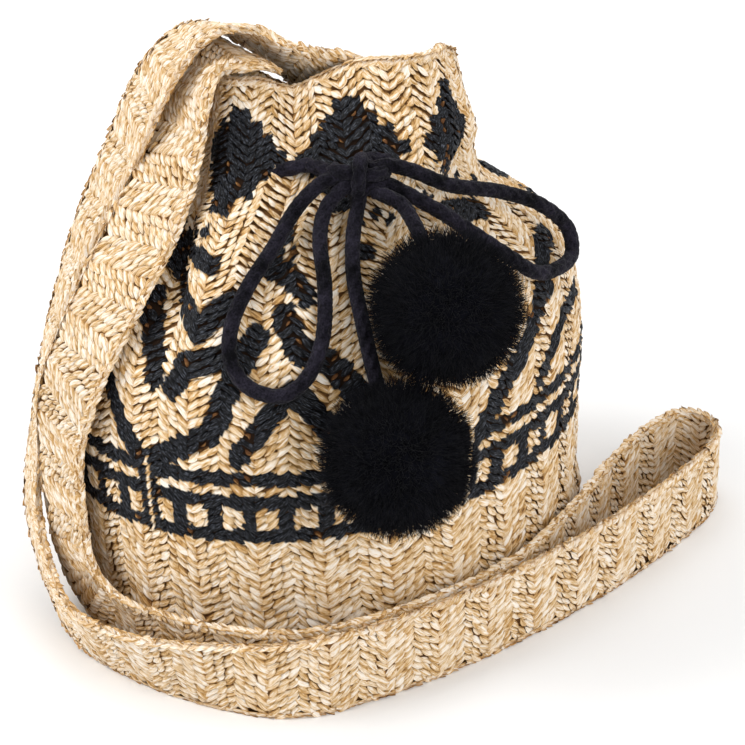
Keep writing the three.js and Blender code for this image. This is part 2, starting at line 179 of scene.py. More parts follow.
def fibre_group():
    """Soft fibres seen close: a fine fleck, a slow change of shade, and a fuzzy height. The fleck sets the
    height too, so the colour has painted shade in the hollows and painted light on the raised fibres.
    """
    group = bpy.data.node_groups.new("yarn_fibres", "ShaderNodeTree")
    group.interface.new_socket("Deep", in_out="INPUT", socket_type="NodeSocketColor")
    group.interface.new_socket("Pale", in_out="INPUT", socket_type="NodeSocketColor")
    group.interface.new_socket("Fineness", in_out="INPUT", socket_type="NodeSocketFloat")
    group.interface.new_socket("Colour", in_out="OUTPUT", socket_type="NodeSocketColor")
    group.interface.new_socket("Height", in_out="OUTPUT", socket_type="NodeSocketFloat")
    nodes = group.nodes
    link = group.links.new
    start = nodes.new("NodeGroupInput")
    end = nodes.new("NodeGroupOutput")
    place = nodes.new("ShaderNodeTexCoord")
    fleck = nodes.new("ShaderNodeTexNoise")
    fleck.inputs["Detail"].default_value = 4
    shade = nodes.new("ShaderNodeTexNoise")
    shade.inputs["Scale"].default_value = 90
    both = nodes.new("ShaderNodeMath")
    both.operation = "MULTIPLY"
    mix = nodes.new("ShaderNodeMix")
    mix.data_type = "RGBA"
    ramp = nodes.new("ShaderNodeMapRange")
    ramp.inputs["From Min"].default_value = 0.14
    ramp.inputs["From Max"].default_value = 0.42
    # The fleck noise sets both the colour and the bump height, so the hollows get painted shade and the
    # raised fibres painted light.
    link(place.outputs["Object"], fleck.inputs["Vector"])
    link(place.outputs["Object"], shade.inputs["Vector"])
    link(start.outputs["Fineness"], fleck.inputs["Scale"])
    link(fleck.outputs["Fac"], both.inputs[0])
    link(shade.outputs["Fac"], both.inputs[1])
    link(both.outputs["Value"], ramp.inputs["Value"])
    link(ramp.outputs["Result"], mix.inputs["Factor"])
    link(start.outputs["Deep"], mix.inputs["A"])
    link(start.outputs["Pale"], mix.inputs["B"])
    link(mix.outputs["Result"], end.inputs["Colour"])
    link(fleck.outputs["Fac"], end.inputs["Height"])
    return group


YARN_FIBRES = fibre_group()


def yarn_finish(name, deep, pale, fineness, bump, sheen):
    """A matt yarn finish whose colour follows its bump: painted shade in its hollows and painted light
    where its fibres stand out, varied by a slow random change of tone.
    """
    material = bpy.data.materials.new(name)
    material.use_nodes = True
    nodes = material.node_tree.nodes
    link = material.node_tree.links.new
    cover = nodes["Principled BSDF"]
    cover.inputs["Roughness"].default_value = 0.95
    cover.inputs["Specular IOR Level"].default_value = 0.1
    cover.inputs["Sheen Weight"].default_value = sheen
    cover.inputs["Sheen Roughness"].default_value = 0.45
    fibres = nodes.new("ShaderNodeGroup")
    fibres.node_tree = YARN_FIBRES
    fibres.inputs["Deep"].default_value = deep
    fibres.inputs["Pale"].default_value = pale
    fibres.inputs["Fineness"].default_value = fineness
    raised = nodes.new("ShaderNodeBump")
    raised.inputs["Strength"].default_value = bump
    raised.inputs["Distance"].default_value = 0.0006
    link(fibres.outputs["Colour"], cover.inputs["Base Color"])
    link(fibres.outputs["Height"], raised.inputs["Height"])
    link(raised.outputs["Normal"], cover.inputs["Normal"])
    return material


CORD_COTTON = yarn_finish(
    "cord_cotton", (0.0012, 0.0011, 0.0022, 1), (0.024, 0.021, 0.033, 1), 1300, 1.0, 0.06
)
for name, points in (("bow_loop_left", LEFT_LOOP), ("bow_loop_right", RIGHT_LOOP)):
    route = cord_route(points, CORD_STEP)
    loop = braided_cord("braided_" + name, route, CORD_COTTON)
    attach(loop, "root")
    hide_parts(name)
    length = np.linalg.norm(np.diff(route, axis=0), axis=1).sum() * MM


# Tails and pompoms. The two ends of the same cord come out under the knot and are sewn into the
# middles of two full pompoms, balls of dark cut yarn about 6 cm across.
UPPER_TAIL = [
    (20, -44.5, 193.5), (24.5, -48.5, 193.5), (30.5, -50.5, 191), (35, -57, 187), (39, -66, 182),
    (48, -92, 167.5),
]
LOWER_TAIL = [
    (15, -43, 195), (13.5, -49, 188), (12, -56, 181.5), (12, -69, 170), (16, -83, 154),
    (20, -92, 139), (29, -119, 117),
]
POMPOM_RADIUS = 29.5
POMPOM_HEART = 26
POMPOM_STRANDS = 11000
STRAND_ROOT = 18
STRAND_LEAN = 0.18
POMPOM_TUFTS = 420
STRAND_WIDTH = 0.22
STRAND_BOW = 2.2
STRAND_SPREAD = 0.9
STRAND_MORE = 1
STRAND_MOST = 3.5
TUFT_PULL = 0.3
POMPOM_YARN = yarn_finish(
    "pompom_yarn", (0.001, 0.0011, 0.0024, 1), (0.0042, 0.0046, 0.0085, 1), 700, 0.3, 0.03
)


def strand_shape():
    """One cut end of yarn: a thin three-sided spike in two lengths, one unit long."""
    bm = bmesh.new()
    bmesh.ops.create_cone(bm, segments=3, radius1=1, radius2=0.35, depth=1, cap_ends=False)
    bmesh.ops.translate(bm, verts=bm.verts, vec=(0, 0, 0.5))
    lengths = [edge for edge in bm.edges if abs(edge.verts[0].co.z - edge.verts[1].co.z) > 0.5]
    bmesh.ops.subdivide_edges(bm, edges=lengths, cuts=1)
    bm.verts.ensure_lookup_table()
    points = np.array([vert.co for vert in bm.verts])
    faces = np.array([[vert.index for vert in face.verts] for face in bm.faces])
    bm.free()
    return points, faces


def many(points, faces):
    """One mesh list from many placed copies of a small shape: points are copies x corners x 3."""
    copies, corners = points.shape[:2]
    stacked = faces[None] + np.arange(copies)[:, None, None] * corners
    return points.reshape(-1, 3) * MM, stacked.reshape(-1, faces.shape[1])


def array_piece(name, points, faces, material):
    mesh = bpy.data.meshes.new(name)
    mesh.from_pydata(points, [], faces.tolist())
    mesh.polygons.foreach_set("use_smooth", np.ones(len(mesh.polygons), bool))
    mesh.materials.append(material)
    piece = bpy.data.objects.new(name, mesh)
    bpy.context.collection.objects.link(piece)
    return piece


def pompom(name, centre, seed):
    """A ball of cut yarn: every strand runs out from the middle, and neighbours lean in tufts."""
    random = np.random.default_rng(seed)
    order = np.arange(POMPOM_STRANDS) + 0.5
    height = 1 - 2 * order / POMPOM_STRANDS
    turn = math.pi * (3 - math.sqrt(5)) * order
    ring = np.sqrt(1 - height ** 2)
    ways = np.column_stack([ring * np.cos(turn), ring * np.sin(turn), height])
    ways = unit(ways + random.normal(0, 0.03, ways.shape))
    tufts = unit(random.normal(0, 1, (POMPOM_TUFTS, 3)))
    nearest = np.argmax(ways @ tufts.T, axis=1)
    ends = ways * (1 - TUFT_PULL) + tufts[nearest] * TUFT_PULL
    ends = unit(ends + random.normal(0, STRAND_LEAN, ways.shape))
    reach = POMPOM_RADIUS + STRAND_MORE + random.normal(0, STRAND_SPREAD, POMPOM_TUFTS)[nearest]
    reach = reach + random.normal(0, STRAND_SPREAD, POMPOM_STRANDS)
    reach = np.minimum(reach, POMPOM_RADIUS + STRAND_MOST)
    shape, faces = strand_shape()
    side = unit(np.cross(ways, random.normal(0, 1, ways.shape)))
    up = np.cross(ways, side)
    along = shape[:, 2][None, :, None]
    roots = ways[:, None] * STRAND_ROOT
    tips = ends[:, None] * reach[:, None, None]
    line = roots * (1 - along) + tips * along + ways[:, None] * STRAND_BOW * along * (1 - along)
    across = side[:, None] * shape[:, 0][None, :, None] + up[:, None] * shape[:, 1][None, :, None]
    points, faces = many(np.array(centre) + line + across * STRAND_WIDTH, faces)
    bm = bmesh.new()
    bmesh.ops.create_icosphere(bm, subdivisions=4, radius=POMPOM_HEART * MM)
    bmesh.ops.translate(bm, verts=bm.verts, vec=np.array(centre) * MM)
    heart = new_piece(name + "_heart", bm, POMPOM_YARN)
    ball = array_piece(name + "_yarn", points, faces, POMPOM_YARN)
    return heart, ball


for tail_name, tail_points, ball_name, centre, seed in (
    ("tail_upper", UPPER_TAIL, "pompom_upper", UPPER_TAIL[-1], 11),
    ("tail_lower", LOWER_TAIL, "pompom_lower", LOWER_TAIL[-1], 12),
):
    route = cord_route(tail_points, CORD_STEP)
    tail = braided_cord("braided_" + tail_name, route, CORD_COTTON)
    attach(tail, "root")
    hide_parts(tail_name)
    heart, ball = pompom(ball_name, centre, seed)
    for piece in (heart, ball):
        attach(piece, "root")
        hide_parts(ball_name)
    length = np.linalg.norm(np.diff(route, axis=0), axis=1).sum() * MM


# Bow knot. The cord is crossed and pulled through itself, so the knot shows two short bights side
# by side with one strand drawn tight down over the middle.
KNOT_CENTRE = np.array((14, -41, 198))
BIGHTS = [
    [(-10, 1, 3), (-8, -2.2, 3.6), (-3, -3.4, 3.4), (3, -3.4, 2.6), (8, -2.2, 2.6), (10.5, 1, 2)],
    [(-10.5, 1, -2.5), (-7, -2.2, -3), (-2, -3.4, -3.4), (4, -3, -3.6), (8, -2, -3.2), (10, 1, -3)],
]
WRAP = [
    (1, 2.5, 6.5), (0.8, -1.2, 7.6), (0.3, -4.4, 5.6), (0, -5.8, 1.8), (-0.2, -5.8, -1.8),
    (-0.6, -4.4, -5.6), (-1, -1.2, -7.4), (-1.2, 2.5, -6.4),
]
for place, strand in enumerate(BIGHTS + [WRAP]):
    route = cord_route(np.array(strand) + KNOT_CENTRE, CORD_STEP)
    turn = braided_cord("bow_knot_strand_%d" % (place + 1), route, CORD_COTTON)
    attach(turn, "root")
    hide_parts("bow_knot")


# Bag wall. One tall oval tube of woven paper straw, gathered at the neck by the drawstring so that
# it falls in folds from the shoulder up, and open at the rim. This piece is the cloth's ground; its
# dark brown is painted shade, the shade seen between the strips.
RIM_Z = 232
NECK_Z = 198
LIFT_START_Z = 160
SECTIONS = {
    "z": [0, 10, 36, 68, 98, 122, 142, 160, 176, 187, 198, 212, 232],
    "long": [93, 108, 113, 115, 115, 111, 103, 86, 68, 60, 57, 53, 49],
    "short": [80, 90, 91, 91, 90, 87, 80, 66, 48, 37, 29, 23, 17],
    "turn": [40, 40, 40, 40, 38, 36, 32, 25, 18, 14, 11, 12, 14],
    "x": [1, 2, 1, 0, 0, 0, 0, -2, -2, 1.5, 5, 5, 5],
    "y": [0, 0, 0, 0, 0, -1, -3, -5, -5, -3, 0, 6, 14],
    "spread": [0, 0, 0, 0, 2, 5, 9, 13, 20, 25, 28, 30, 30],
}
FOLDS = {
    "rim": [0, -56, -32, 60, 24, 95, 155, -175, -148, -118],
    "low": [0, -26, -18, 48, 27, 90, 150, -170, -145, -115],
    "z_low": [172, 126, 140, 150, 165, 140, 140, 140, 140, 140],
    "z_full": [195, 165, 185, 182, 195, 185, 185, 185, 185, 185],
    "keep": [1, 0.3, 1, 0.6, 1, 1, 1, 1, 1, 0.5],
    "depth": [4, 15, -4, 7, -3, 4, 4, 4, 4, 4],
    "left": [14, 14, 11, 10, 12, 9, 9, 9, 9, 9],
    "right": [14, 8, 10, 12, 12, 9, 9, 9, 9, 9],
}
RIM_LIFT = {
    "angle": [-180, -145, -118, -90, -60, -35, -20, -6, 3, 12, 36, 60, 90, 115, 180],
    "lift": [-24, -21, -25.5, -14, -6, -7, -8, -13, -8, -3, -4, -7, -14, -24, -24],
}
WALL_COLUMNS = 150
WALL_ROWS = 62
WALL_MARGIN = 0.6
GROUND_DEPTH = 1.0
FRAME_DEG = 0.6
FRAME_MM = 0.8
GROUND_THICK = 1.4


def read_table(table, key, column, value):
    """A smooth value from a short table."""
    keys = np.array(table[key], float)
    values = np.array(table[column], float)
    slopes = np.gradient(values, keys)
    row = np.clip(np.searchsorted(keys, value) - 1, 0, len(keys) - 2)
    gap = keys[row + 1] - keys[row]
    part = np.clip((value - keys[row]) / gap, 0, 1)
    rise = part ** 2 * (3 - 2 * part)
    bend = slopes[row] * part * (1 - part) ** 2 - slopes[row + 1] * part ** 2 * (1 - part)
    return values[row] * (1 - rise) + values[row + 1] * rise + gap * bend


def smooth(part):
    held = np.clip(part, 0, 1)
    return held ** 2 * (3 - 2 * held)


def wrap(angle):
    return (angle + 180) % 360 - 180


def fold_sink(angle, z):
    """How far the folds press the cloth in."""
    sink = np.zeros(np.broadcast(angle, z).shape)
    for rim, low, z_low, z_full, keep, depth, left, right in zip(*FOLDS.values()):
        middle = low + (rim - low) * np.clip((z - z_low) / (RIM_Z - z_low), 0, 1)
        off = wrap(angle - middle)
        width = np.where(off < 0, left, right)
        fade = smooth((z - z_low) / (z_full - z_low))
        if z_full < NECK_Z:
            fade = fade * (1 - (1 - keep) * smooth((z - z_full) / (NECK_Z - z_full)))
        sink = sink + depth * fade * np.exp(-((off / width) ** 2))
    return sink


def wall_point(angle, z):
    """A point on the outer face: angle in degrees round from the front, z in mm up the cloth."""
    angle, z = np.broadcast_arrays(np.asarray(angle, float), np.asarray(z, float))
    long, short, turn, x, y, spread = [
        read_table(SECTIONS, "z", column, z)
        for column in ("long", "short", "turn", "x", "y", "spread")
    ]
    around = np.radians(angle + spread * np.sin(np.radians(angle)))
    way_x = np.cos(np.radians(turn))
    way_y = np.sin(np.radians(turn))
    along = np.sin(around) * way_x - np.cos(around) * way_y
    across = -np.sin(around) * way_y - np.cos(around) * way_x
    plan_x = along * long * way_x - across * short * way_y
    plan_y = along * long * way_y + across * short * way_x
    out_x = along / long * way_x - across / short * way_y
    out_y = along / long * way_y + across / short * way_x
    sink = fold_sink(angle, z) / np.hypot(out_x, out_y)
    lift = read_table(RIM_LIFT, "angle", "lift", wrap(angle))
    lift = lift * np.clip((z - LIFT_START_Z) / (RIM_Z - LIFT_START_Z), 0, 1) ** 2
    return np.stack([x + plan_x - sink * out_x, y + plan_y - sink * out_y, z + lift], axis=-1)


def wall_frame(angle, z):
    """Place, sideways way, upward way and outward way of the cloth, and the width of a degree."""
    sideways = wall_point(angle + FRAME_DEG, z) - wall_point(angle - FRAME_DEG, z)
    upward = wall_point(angle, z + FRAME_MM) - wall_point(angle, z - FRAME_MM)
    out = unit(np.cross(sideways, upward))
    side = unit(sideways)
    pitch = np.linalg.norm(sideways, axis=-1) / (2 * FRAME_DEG)
    return wall_point(angle, z), side, np.cross(out, side), out, pitch


def colour(red, green, blue):
    """A shader colour from the usual 0 to 255 values."""
    shares = [value / 255 for value in (red, green, blue)]
    return [((share + 0.055) / 1.055) ** 2.4 if share > 0.04 else share / 12.9 for share in shares] + [1]


# The ground's dark brown colour is painted shade: it shows between the strips of the wall, base and strap,
# where shade falls.
STRAW_GROUND_PAINTED_SHADE = yarn_finish("straw_ground_painted_shade", colour(70, 46, 26), colour(138, 98, 58), 500, 0.6, 0.0)
bm, around, up = cloth_grid(WALL_COLUMNS, WALL_ROWS)
angles = around * 360 - 180
heights = up * (RIM_Z - 2 * WALL_MARGIN) + WALL_MARGIN
place, side, rise, out, pitch = wall_frame(angles, heights)
move_points(bm, place - out * GROUND_DEPTH)
bmesh.ops.remove_doubles(bm, verts=bm.verts, dist=JOIN_DISTANCE)
wall = new_piece("bag_wall_ground", bm, STRAW_GROUND_PAINTED_SHADE)
thick = wall.modifiers.new("cloth_thickness", "SOLIDIFY")
thick.thickness = GROUND_THICK * MM
thick.offset = -1
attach(wall, "root")
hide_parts("bag_wall")


# Wall weave. Flat twisted strips of paper straw, knotted in slanting rows that turn at every column
# into a herringbone, natural with a dark folk border, and a rolled edge round the rim.
GRAIN_LENGTH = 7.4
GRAIN_WIDTH = 3.1
GRAIN_DOME = 1.2
GRAIN_LIP = 0.55
GRAIN_SEAT = 0.55
HALF_COLUMNS = 50
COLUMN_DEG = 360 / HALF_COLUMNS
FIRST_COLUMN = -7.8
COLUMN_WIDTH = 13.0
ROW_PITCH = 3.7
ROW_RISE = 6.3
GRAIN_SLANT = 41
GRAINS_IN_ROW = 3
COLLAR_LEAN = 28
INK_REACH = 0.6
INK_LIMIT = 3
# EDGE_SHADE is painted shade: how much darker each strip is painted towards its edges and ends.
EDGE_SHADE = 0.32
STRAW_SEED = 5
WEAVE_SPLIT_Z = 110
INSIDE_WEAVE_Z = 180
INSIDE_DEPTH = 2.6
FRONT_POINTS = 400
FLECK_SINK = 0.35


def grain_shape():
    """The plan of one strip of straw between two knots, from -1 to 1 along it and across it."""
    bm = bmesh.new()
    bmesh.ops.create_grid(bm, x_segments=5, y_segments=2, size=1)
    bm.verts.ensure_lookup_table()
    points = np.array([vert.co[:2] for vert in bm.verts])
    faces = np.array([[vert.index for vert in face.verts] for face in bm.faces])
    bm.free()
    return points, faces


def set_ramp(ramp, shades):
    """Give a colour ramp its places and colours."""
    stops = ramp.color_ramp.elements
    for place, shade in shades[1:-1]:
        stops.new(place).color = colour(*shade)
    for stop, (place, shade) in ((stops[0], shades[0]), (stops[-1], shades[-1])):
        stop.position = place
        stop.color = colour(*shade)


def streak_noise(nodes, link, strip, scale, detail):
    """Noise drawn out along a strip."""
    stretch = nodes.new("ShaderNodeMapping")
    stretch.inputs["Scale"].default_value = scale
    noise = nodes.new("ShaderNodeTexNoise")
    noise.inputs["Scale"].default_value = 1
    noise.inputs["Detail"].default_value = detail
    link(strip.outputs["UV"], stretch.inputs["Vector"])
    link(stretch.outputs["Vector"], noise.inputs["Vector"])
    return noise.outputs["Fac"]


def sum_of(nodes, link, first, share, second):
    """One value times a share, and another added."""
    step = nodes.new("ShaderNodeMath")
    step.operation = "MULTIPLY_ADD"
    step.inputs[1].default_value = share
    link(first, step.inputs[0])
    link(second, step.inputs[2])
    return step.outputs["Value"]


def straw_finish():
    """Paper straw: each strip its own shade, with creases and fibres along it, and a slight gloss. The
    crease noise also raises the bump, so it paints shade and light along the creases; the dyed strips get
    painted pale glints.
    """
    material = bpy.data.materials.new("paper_straw")
    material.use_nodes = True
    nodes = material.node_tree.nodes
    link = material.node_tree.links.new
    cover = nodes["Principled BSDF"]
    cover.inputs["Roughness"].default_value = 0.5
    cover.inputs["Specular IOR Level"].default_value = 0.16
    # The tone attribute holds each strip's own tone, lowered towards its edges as painted shade in
    # straw_piece.
    tone = nodes.new("ShaderNodeAttribute")
    tone.attribute_name = "tone"
    ink = nodes.new("ShaderNodeAttribute")
    ink.attribute_name = "ink"
    strip = nodes.new("ShaderNodeUVMap")
    strip.uv_map = "strip"
    crease = streak_noise(nodes, link, strip, (0.7, 3.2, 1), 2)
    fibre = streak_noise(nodes, link, strip, (1.6, 11, 1), 3)
    # The natural ramp holds the straw's own cream to gold colours, with a painted-shade brown at its low
    # end and a painted-highlight near-white at its top.
    natural = nodes.new("ShaderNodeValToRGB")
    set_ramp(natural, (
        (0.3, (98, 62, 32)), (0.56, (194, 149, 88)), (0.7, (216, 184, 138)),
        (0.84, (235, 213, 184)), (1.0, (246, 236, 222)),
    ))
    # Dyed straw: near black, with pale blue-grey streaks along the fibres that are painted glints of
    # gloss.
    dark = nodes.new("ShaderNodeValToRGB")
    set_ramp(dark, ((0.38, (3, 3, 5)), (0.54, (11, 11, 14)), (0.7, (94, 99, 110))))
    # Painted shade and light: the crease noise that drives the bump also darkens the colour in the crease
    # hollows and lightens it on the ridges, together with each strip's own tone and fibre streaks.
    shade = sum_of(nodes, link, crease, 1.1, tone.outputs["Fac"])
    shade = sum_of(nodes, link, fibre, 0.8, shade)
    depth = sum_of(nodes, link, crease, 1.4, ink.outputs["Fac"])
    dyed = nodes.new("ShaderNodeMapRange")
    dyed.inputs["From Min"].default_value = 0.5
    dyed.inputs["From Max"].default_value = 0.9
    mixed = nodes.new("ShaderNodeMix")
    mixed.data_type = "RGBA"
    raised = nodes.new("ShaderNodeBump")
    raised.inputs["Strength"].default_value = 0.7
    raised.inputs["Distance"].default_value = 0.0006
    link(shade, natural.inputs["Fac"])
    link(fibre, dark.inputs["Fac"])
    link(depth, dyed.inputs["Value"])
    link(dyed.outputs["Result"], mixed.inputs["Factor"])
    link(natural.outputs["Color"], mixed.inputs["A"])
    link(dark.outputs["Color"], mixed.inputs["B"])
    link(mixed.outputs["Result"], cover.inputs["Base Color"])
    link(crease, raised.inputs["Height"])
    link(raised.outputs["Normal"], cover.inputs["Normal"])
    return material


PAPER_STRAW = straw_finish()
GRAIN_PLAN, GRAIN_FACES = grain_shape()


def straw_piece(name, place, along, across, out, length, width, tone, ink, random):
    """Strips of straw laid at given places and ways, each bent, creased and cut differently, and each
    strip's tone darkened towards its edges and ends as painted shade.
    """
    count = len(place)
    run = GRAIN_PLAN[None, :, 0]
    over = GRAIN_PLAN[None, :, 1]
    taper, bend, ridge, tilt, twist, swell = random.normal(0, 1, (6, count, 1))
    narrow = 1 - (0.68 + 0.1 * taper) * np.abs(run) ** 2.5
    sideways = over * narrow * width[:, None] / 2 + 0.3 * bend * run ** 2 + 0.2 * ridge * (1 - over ** 2)
    dome = (1 - 0.8 * run ** 2) * (1 - 0.8 * over ** 2) * (1 + 0.15 * swell)
    height = GRAIN_DOME * dome - (GRAIN_LIP + 0.2 * twist * run) * over + 0.2 * tilt * run - GRAIN_SEAT
    height = height + random.normal(0, 0.07, height.shape)
    points = (
        place[:, None]
        + along[:, None] * (run * length[:, None] / 2)[..., None]
        + across[:, None] * sideways[..., None]
        + out[:, None] * height[..., None]
    )
    points[..., 2] = np.maximum(points[..., 2], 0.05)
    placed, faces = many(points, GRAIN_FACES)
    piece = array_piece(name, placed, faces, PAPER_STRAW)
    # Painted shade: the tone is lowered towards each strip's edges and ends, most along the upper edge
    # that tucks under the next row, where shade falls between the strips.
    painted_shade_weight = np.clip(over, 0, 1) + 0.4 * np.clip(-over, 0, 1) + 0.4 * run ** 4
    for label, values in (("tone", tone[:, None] - EDGE_SHADE * painted_shade_weight), ("ink", ink)):
        layer = piece.data.attributes.new(label, "FLOAT", "POINT")
        spread = np.broadcast_to(values, height.shape)
        layer.data.foreach_set("value", spread.ravel().astype(np.float32))
    shift = random.uniform(0, 40, (count, 1, 2))
    strip = (GRAIN_PLAN[GRAIN_FACES.ravel()][None] * (1, 0.5) + shift).reshape(-1, 2)
    piece.data.uv_layers.new(name="strip").data.foreach_set("uv", strip.ravel().astype(np.float32))
    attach(piece, "root")
    return piece


def turned(side, rise, slant):
    """Two directions in the cloth, turned from its sideways and upward ways."""
    lean = np.radians(slant)[:, None]
    return side * np.cos(lean) + rise * np.sin(lean), rise * np.cos(lean) - side * np.sin(lean)


# The border is charted: places round the cloth in degrees and heights in mm, with widths.
SEAM_DEG = 72
SEAM_AT = -33
SEAM_HALF_MM = 0.5
SEAM_BAR_MM = 4.4
SEAM_TOP = 100
BORDER_BANDS = [(67.4, 73.8), (82.6, 88.8), (92.6, 98.8)]
LADDER_BAND = (67.4, 88.8)
LADDER_DEG = 8
LADDER_RUNG_MM = 6.0
BORDER_BARS = [
    (8.5, [(-45, 126), (-41.5, 116), (-38.5, 106), (-34.5, 100)]),
    (9.5, [(-32, 98), (-25, 106), (-17, 114), (-15, 124), (-13.5, 132), (-10.5, 144), (-8.5, 150)]),
    (9.5, [(-2.5, 156), (1, 145), (7, 141), (12, 130), (20, 117), (27, 108), (36, 99)]),
    (9, [(-11, 105), (-8.5, 112), (-5, 122), (-2, 128), (-0.5, 132), (4, 124), (8, 114), (12, 105)]),
    (9, [(-40, 152), (-35, 144), (-32, 138), (-31, 132)]),
    (9, [(-26, 130), (-24, 138), (-15, 144)]),
    (9, [(-44, 167), (-31.5, 160), (-26, 155), (-22, 150), (-19, 156), (-15, 159)]),
    (6, [(-45, 168), (-29, 171), (-21, 170)]),
    (7, [(-7, 170), (-2, 168), (2, 162)]),
    (10.5, [(42, 98), (46, 110), (50, 118), (55, 126), (60, 138), (64, 140)]),
    (8, [(60, 104), (64.5, 113), (71, 122), (84, 122)]),
    (8.5, [(78.5, 150), (71, 150), (65, 146)]),
    (7, [(41, 176), (52, 172), (59.5, 170)]),
    (6, [(50, 170), (51, 166)]),
    (5, [(12, 172), (17, 172)]),
]
BORDER_MARKS = [
    (-45, 172), (-39, 175), (-31.5, 176), (-27, 178), (-4, 178), (-5.5, 174), (-2, 174), (12, 188),
    (18, 182), (21.5, 180), (13.5, 180), (32, 184), (34, 182), (41, 188), (57, 182), (65, 178),
]
MARK_SIZE = 4.5
DIAMOND_MIDDLES = [-26, 8.5, 45]
DIAMOND_Z = 202
DIAMOND_HALF = (16, 21)
DIAMOND_STEPS = 4
DIAMOND_FULL = 1.12
FLECK_SHARE = 0.14
FLECK_SIZE = 0.42
FLECK_TONE = -0.62
BACK_TURN = 144
FRONT_REACH = (-62, 90)


def degree_width(z):
    """How wide one degree of the cloth is, in mm, at a height."""
    return np.interp(z, [0, 120, 160, 198], [1.85, 1.85, 1.65, 1.45])


def border_depth(angle, z):
    """How far inside the dyed straw a place is, in mm, and below nothing where it is natural."""
    angle = wrap(angle)
    angle = np.where(angle > FRONT_REACH[1], angle - BACK_TURN, angle)
    angle = np.where(angle < FRONT_REACH[0], angle + BACK_TURN, angle)
    wide = degree_width(z)
    seam = np.abs((angle - SEAM_AT + SEAM_DEG / 2) % SEAM_DEG - SEAM_DEG / 2) * wide
    rung = (angle - SEAM_AT) % LADDER_DEG
    rung = LADDER_RUNG_MM / 2 - np.minimum(rung, LADDER_DEG - rung) * wide
    rung = np.minimum(rung, np.minimum(z - LADDER_BAND[0], LADDER_BAND[1] - z))
    depth = np.maximum(rung, np.minimum(SEAM_BAR_MM - seam, np.minimum(z - LADDER_BAND[0], SEAM_TOP - z)))
    for low, high in BORDER_BANDS:
        depth = np.maximum(depth, np.minimum(z - low, high - z))
    for width, line in BORDER_BARS:
        for (a, low), (b, high) in zip(line, line[1:]):
            run = np.stack([(b - a) * wide, np.full(wide.shape, high - low)], axis=-1)
            to = np.stack([(angle - a) * wide, z - low], axis=-1)
            part = np.clip((to * run).sum(-1) / (run * run).sum(-1), 0, 1)
            depth = np.maximum(depth, width / 2 - np.linalg.norm(to - run * part[..., None], axis=-1))
    for mark, height in BORDER_MARKS:
        depth = np.maximum(depth, MARK_SIZE / 2 - np.hypot((angle - mark) * wide, z - height))
    for middle in DIAMOND_MIDDLES:
        out = np.abs(angle - middle) / DIAMOND_HALF[0]
        up = np.abs(z - DIAMOND_Z) / DIAMOND_HALF[1]
        stepped = np.ceil(out * DIAMOND_STEPS) / DIAMOND_STEPS
        depth = np.maximum(depth, (DIAMOND_FULL - stepped - up) * DIAMOND_HALF[1])
    depth = np.where(z < SEAM_TOP, np.minimum(depth, seam - SEAM_HALF_MM), depth)
    return np.clip(depth, -INK_LIMIT, INK_LIMIT)


def grain_depth(angle, z, slant, length, width, pitch, rise):
    """The dye at each strip's corners, read part of the way out from its middle."""
    lean = np.radians(slant)[:, None]
    run = GRAIN_PLAN[None, :, 0] * length[:, None] / 2 * INK_REACH
    over = GRAIN_PLAN[None, :, 1] * width[:, None] / 2 * INK_REACH
    aside = run * np.cos(lean) - over * np.sin(lean)
    upward = run * np.sin(lean) + over * np.cos(lean)
    return border_depth(angle[:, None] + aside / pitch[:, None], z[:, None] + upward * rise[:, 2:])


def row_gap(angle, z):
    """How much cloth lies between two heights 2 mm apart, at a place round it."""
    return np.linalg.norm(wall_point(angle, z + 1) - wall_point(angle, z - 1), axis=-1)


def dye_ground(piece):
    """Dye the ground cloth under the border, so that it stays dark between the strips."""
    mesh = piece.data
    at = np.empty(len(mesh.loops) * 2, np.float32)
    mesh.uv_layers["cloth"].data.foreach_get("uv", at)
    owner = np.empty(len(mesh.loops), np.int32)
    mesh.loops.foreach_get("vertex_index", owner)
    depth = np.empty(len(mesh.vertices), np.float32)
    depth[owner] = border_depth(at[0::2] * 360, (at[1::2] + 0.5) * RIM_Z)
    mesh.attributes.new("ink", "FLOAT", "POINT").data.foreach_set("value", depth)
    nodes = STRAW_GROUND_PAINTED_SHADE.node_tree.nodes
    link = STRAW_GROUND_PAINTED_SHADE.node_tree.links.new
    shade = nodes["Principled BSDF"].inputs["Base Color"]
    ink = nodes.new("ShaderNodeAttribute")
    ink.attribute_name = "ink"
    dyed = nodes.new("ShaderNodeMapRange")
    dyed.inputs["From Min"].default_value = 0.3
    mixed = nodes.new("ShaderNodeMix")
    mixed.data_type = "RGBA"
    mixed.inputs["B"].default_value = colour(38, 26, 18)
    link(ink.outputs["Fac"], dyed.inputs["Value"])
    link(dyed.outputs["Result"], mixed.inputs["Factor"])
    link(shade.links[0].from_socket, mixed.inputs["A"])
    link(mixed.outputs["Result"], shade)


dye_ground(wall)
front_z = np.linspace(0, RIM_Z, FRONT_POINTS)
front_line = wall_point(np.zeros(FRONT_POINTS), front_z)
front_reach = reach_along(front_line)
random = np.random.default_rng(STRAW_SEED)
rows = int(front_reach[-1] / ROW_PITCH) + 4
column, row, step = [
    values.ravel()
    for values in np.meshgrid(
        np.arange(HALF_COLUMNS), np.arange(-2, rows), np.arange(GRAINS_IN_ROW), indexing="ij"
    )
]
share = (step + 0.5) / GRAINS_IN_ROW
lean = np.where(column % 2 == 0, 1.0, -1.0)
angles = FIRST_COLUMN + COLUMN_DEG * (column + share) + random.normal(0, 0.14, column.shape)
reach = (row + 0.5) * ROW_PITCH + lean * ROW_RISE * (share - 0.5) + random.normal(0, 0.22, column.shape)
kept = (reach > 1.2) & (reach < front_reach[-1] - 1.0)
angles = angles[kept]
lean = lean[kept]
heights = np.interp(reach[kept], front_reach, front_z)
